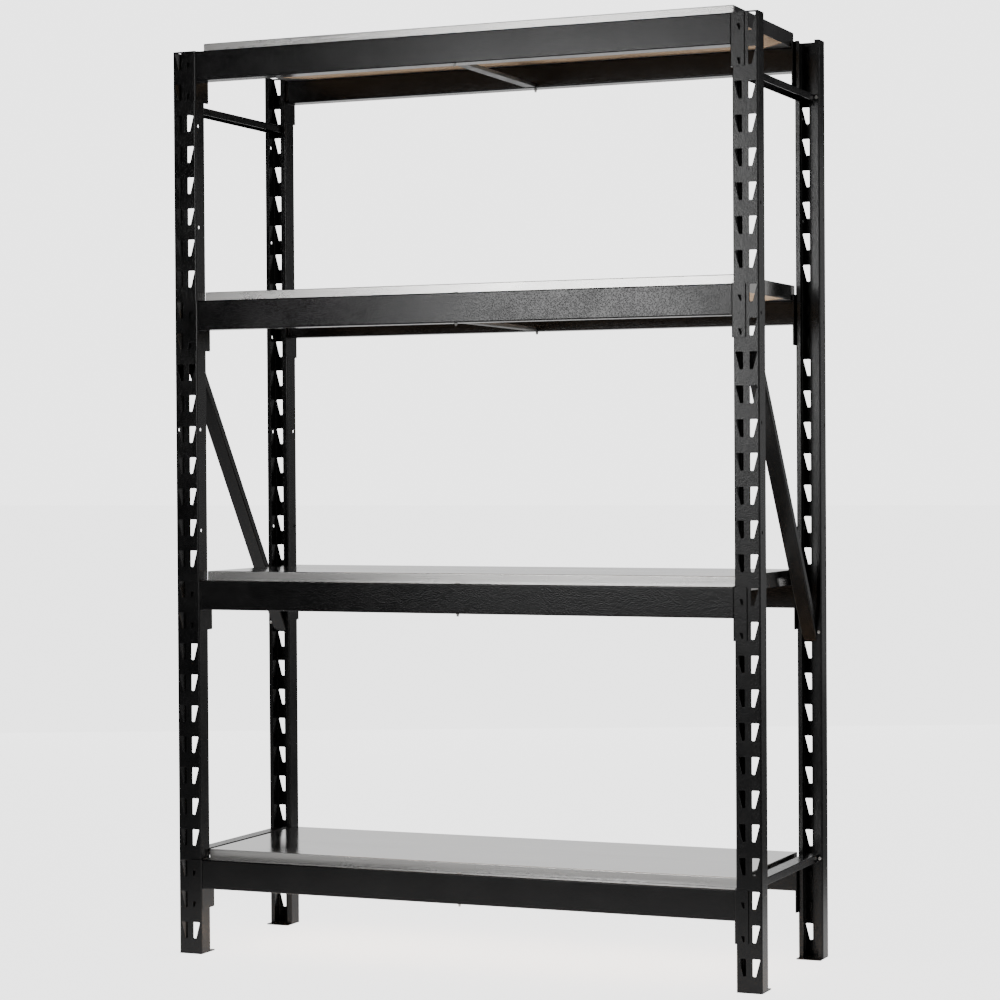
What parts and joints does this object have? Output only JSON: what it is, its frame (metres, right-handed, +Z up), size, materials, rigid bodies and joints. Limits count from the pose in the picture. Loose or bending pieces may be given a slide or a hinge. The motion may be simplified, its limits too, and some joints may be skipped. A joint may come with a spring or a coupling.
{
  "type": "boltless steel shelving",
  "caption": "Boltless steel shelving with slotted uprights, step beams on hooked end plates, braced ends and steel-skinned board decks.",
  "frame": {"origin": "bottom centre, on the floor, midway between the uprights", "axes": "+X along the beams to the right seen from the front, +Y to the rear, +Z up"},
  "size_m": [1.24, 0.4384, 1.8465],
  "materials": {
    "frame_paint": "textured",
    "beam_paint": "textured",
    "screw_zinc": "satin",
    "tie_zinc": "satin",
    "pin_zinc": "satin",
    "deck_steel": "brushed",
    "particle_board": "matte"
  },
  "bodies": {
    "frame": {"upright_front_left": "frame_paint", "foot_front_left": "frame_paint", "upright_rear_left": "frame_paint", "foot_rear_left": "frame_paint", "brace_top_left": "frame_paint", "brace_bottom_left": "frame_paint", "brace_diagonal_left": "frame_paint", "brace_screws_left": "screw_zinc", "upright_front_right": "frame_paint", "foot_front_right": "frame_paint", "upright_rear_right": "frame_paint", "foot_rear_right": "frame_paint", "brace_top_right": "frame_paint", "brace_bottom_right": "frame_paint", "brace_diagonal_right": "frame_paint", "brace_screws_right": "screw_zinc"},
    "shelf_1": {"beam_1_front": "beam_paint", "end_plate_1_front_left": "beam_paint", "end_plate_1_front_right": "beam_paint", "beam_1_rear": "beam_paint", "end_plate_1_rear_left": "beam_paint", "end_plate_1_rear_right": "beam_paint", "tie_bar_1": "tie_zinc", "tie_pins_1": "pin_zinc"},
    "deck_1": {"deck_skin_1": "deck_steel", "deck_board_1": "particle_board"},
    "shelf_2": {"beam_2_front": "beam_paint", "end_plate_2_front_left": "beam_paint", "end_plate_2_front_right": "beam_paint", "beam_2_rear": "beam_paint", "end_plate_2_rear_left": "beam_paint", "end_plate_2_rear_right": "beam_paint", "tie_bar_2": "tie_zinc", "tie_pins_2": "pin_zinc"},
    "deck_2": {"deck_skin_2": "deck_steel", "deck_board_2": "particle_board"},
    "shelf_3": {"beam_3_front": "beam_paint", "end_plate_3_front_left": "beam_paint", "end_plate_3_front_right": "beam_paint", "beam_3_rear": "beam_paint", "end_plate_3_rear_left": "beam_paint", "end_plate_3_rear_right": "beam_paint", "tie_bar_3": "tie_zinc", "tie_pins_3": "pin_zinc"},
    "deck_3": {"deck_skin_3": "deck_steel", "deck_board_3": "particle_board"},
    "shelf_4": {"beam_4_front": "beam_paint", "end_plate_4_front_left": "beam_paint", "end_plate_4_front_right": "beam_paint", "beam_4_rear": "beam_paint", "end_plate_4_rear_left": "beam_paint", "end_plate_4_rear_right": "beam_paint", "tie_bar_4": "tie_zinc", "tie_pins_4": "pin_zinc"},
    "deck_4": {"deck_skin_4": "deck_steel", "deck_board_4": "particle_board"}
  },
  "joints": [
    {"name": "shelf_1_lift", "type": "slide", "parent": "frame", "child": "shelf_1", "axis": [0, 0, 1], "range_m": [0, 0.016]},
    {"name": "deck_1_lift", "type": "slide", "parent": "shelf_1", "child": "deck_1", "axis": [0, 0, 1], "range_m": [0, 0.15]},
    {"name": "shelf_2_lift", "type": "slide", "parent": "frame", "child": "shelf_2", "axis": [0, 0, 1], "range_m": [0, 0.016]},
    {"name": "deck_2_lift", "type": "slide", "parent": "shelf_2", "child": "deck_2", "axis": [0, 0, 1], "range_m": [0, 0.15]},
    {"name": "shelf_3_lift", "type": "slide", "parent": "frame", "child": "shelf_3", "axis": [0, 0, 1], "range_m": [0, 0.016]},
    {"name": "deck_3_lift", "type": "slide", "parent": "shelf_3", "child": "deck_3", "axis": [0, 0, 1], "range_m": [0, 0.15]},
    {"name": "shelf_4_lift", "type": "slide", "parent": "frame", "child": "shelf_4", "axis": [0, 0, 1], "range_m": [0, 0.016]},
    {"name": "deck_4_lift", "type": "slide", "parent": "shelf_4", "child": "deck_4", "axis": [0, 0, 1], "range_m": [0, 0.15]}
  ]
}
